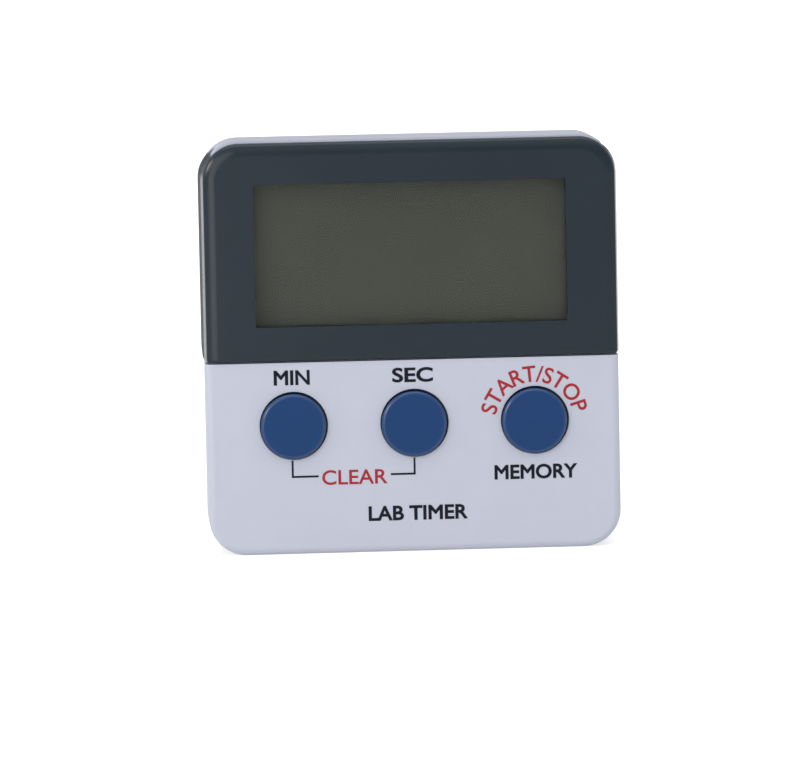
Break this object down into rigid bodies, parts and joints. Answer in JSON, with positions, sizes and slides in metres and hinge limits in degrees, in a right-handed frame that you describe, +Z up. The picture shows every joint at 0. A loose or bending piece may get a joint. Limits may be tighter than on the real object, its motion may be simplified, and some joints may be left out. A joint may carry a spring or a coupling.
{
  "type": "lab timer",
  "caption": "Square pocket countdown timer with a dark display cover, a blank display, push buttons, magnets and a fold-out stand.",
  "frame": {"origin": "middle of the footprint, on the plane the timer stands on", "axes": "+Z up, -Y out of the display face, +X to the right of someone reading the display"},
  "size_m": [0.0672, 0.0166, 0.0666],
  "materials": {
    "case_plastic": "fine matte texture",
    "cover_plastic": "gloss",
    "button_plastic": "satin",
    "clear_plastic": "clear gloss",
    "display_glass": "clear gloss",
    "polarizer_film": "satin",
    "silicone_rubber": "matte",
    "carbon_rubber": "matte",
    "circuit_board": "satin",
    "black_resin": "satin",
    "steel": "satin",
    "nickel": "satin",
    "brass": "satin",
    "ceramic": "matte",
    "cell_jacket": "satin printed jacket",
    "red_wire": "satin",
    "black_wire": "satin"
  },
  "bodies": {
    "case": {"battery_cell": "cell_jacket", "battery_spring": "nickel", "battery_wire_black": "black_wire", "battery_wire_red": "red_wire", "bias_resistor": "black_resin", "board_screw_1": "steel", "board_screw_2": "steel", "board_screw_3": "steel", "board_screw_4": "steel", "buzzer_transistor": "black_resin", "case_screw_1": "steel", "case_screw_2": "steel", "case_screw_3": "steel", "case_screw_4": "steel", "chip_blob": "black_resin", "display_cover": "cover_plastic", "display_window": "clear_plastic", "front_shell": "case_plastic", "keypad_mat": "silicone_rubber", "lcd_front_glass": "display_glass", "lcd_front_polarizer": "polarizer_film", "lcd_rear_glass": "display_glass", "lcd_reflector": "polarizer_film", "magnet_left": "nickel", "magnet_right": "nickel", "main_board": "circuit_board", "negative_contact": "nickel", "positive_contact": "nickel", "quartz_crystal": "nickel", "rear_cover": "case_plastic", "sounder_disc": "brass", "sounder_element": "ceramic", "sounder_wire_black": "black_wire", "sounder_wire_red": "red_wire", "stand_pin": "steel", "timing_capacitor_a": "ceramic", "timing_capacitor_b": "ceramic", "zebra_connector": "silicone_rubber"},
    "button_min": {"button_min": "button_plastic", "contact_pill_min": "carbon_rubber"},
    "button_sec": {"button_sec": "button_plastic", "contact_pill_sec": "carbon_rubber"},
    "button_start_stop": {"button_start_stop": "button_plastic", "contact_pill_start_stop": "carbon_rubber"},
    "stand": {"stand_plate": "case_plastic"},
    "battery_door": {"battery_door": "case_plastic"}
  },
  "joints": [
    {"name": "button_min_press", "type": "slide", "parent": "case", "child": "button_min", "axis": [0, 1, 0], "range_m": [0, 0.0008], "stiffness_N_per_m": 80, "deforming": ["keypad_mat"]},
    {"name": "button_sec_press", "type": "slide", "parent": "case", "child": "button_sec", "axis": [0, 1, 0], "range_m": [0, 0.0008], "stiffness_N_per_m": 80, "deforming": ["keypad_mat"]},
    {"name": "button_start_stop_press", "type": "slide", "parent": "case", "child": "button_start_stop", "axis": [0, 1, 0], "range_m": [0, 0.0008], "stiffness_N_per_m": 80, "deforming": ["keypad_mat"]},
    {"name": "stand_fold", "type": "hinge", "parent": "case", "child": "stand", "pos_m": [0, 0.00685, 0.018], "axis": [-1, 0, 0], "range_deg": [0, 100]},
    {"name": "battery_door_lift", "type": "slide", "parent": "case", "child": "battery_door", "axis": [0, 1, 0], "range_m": [0, 0.012]}
  ]
}
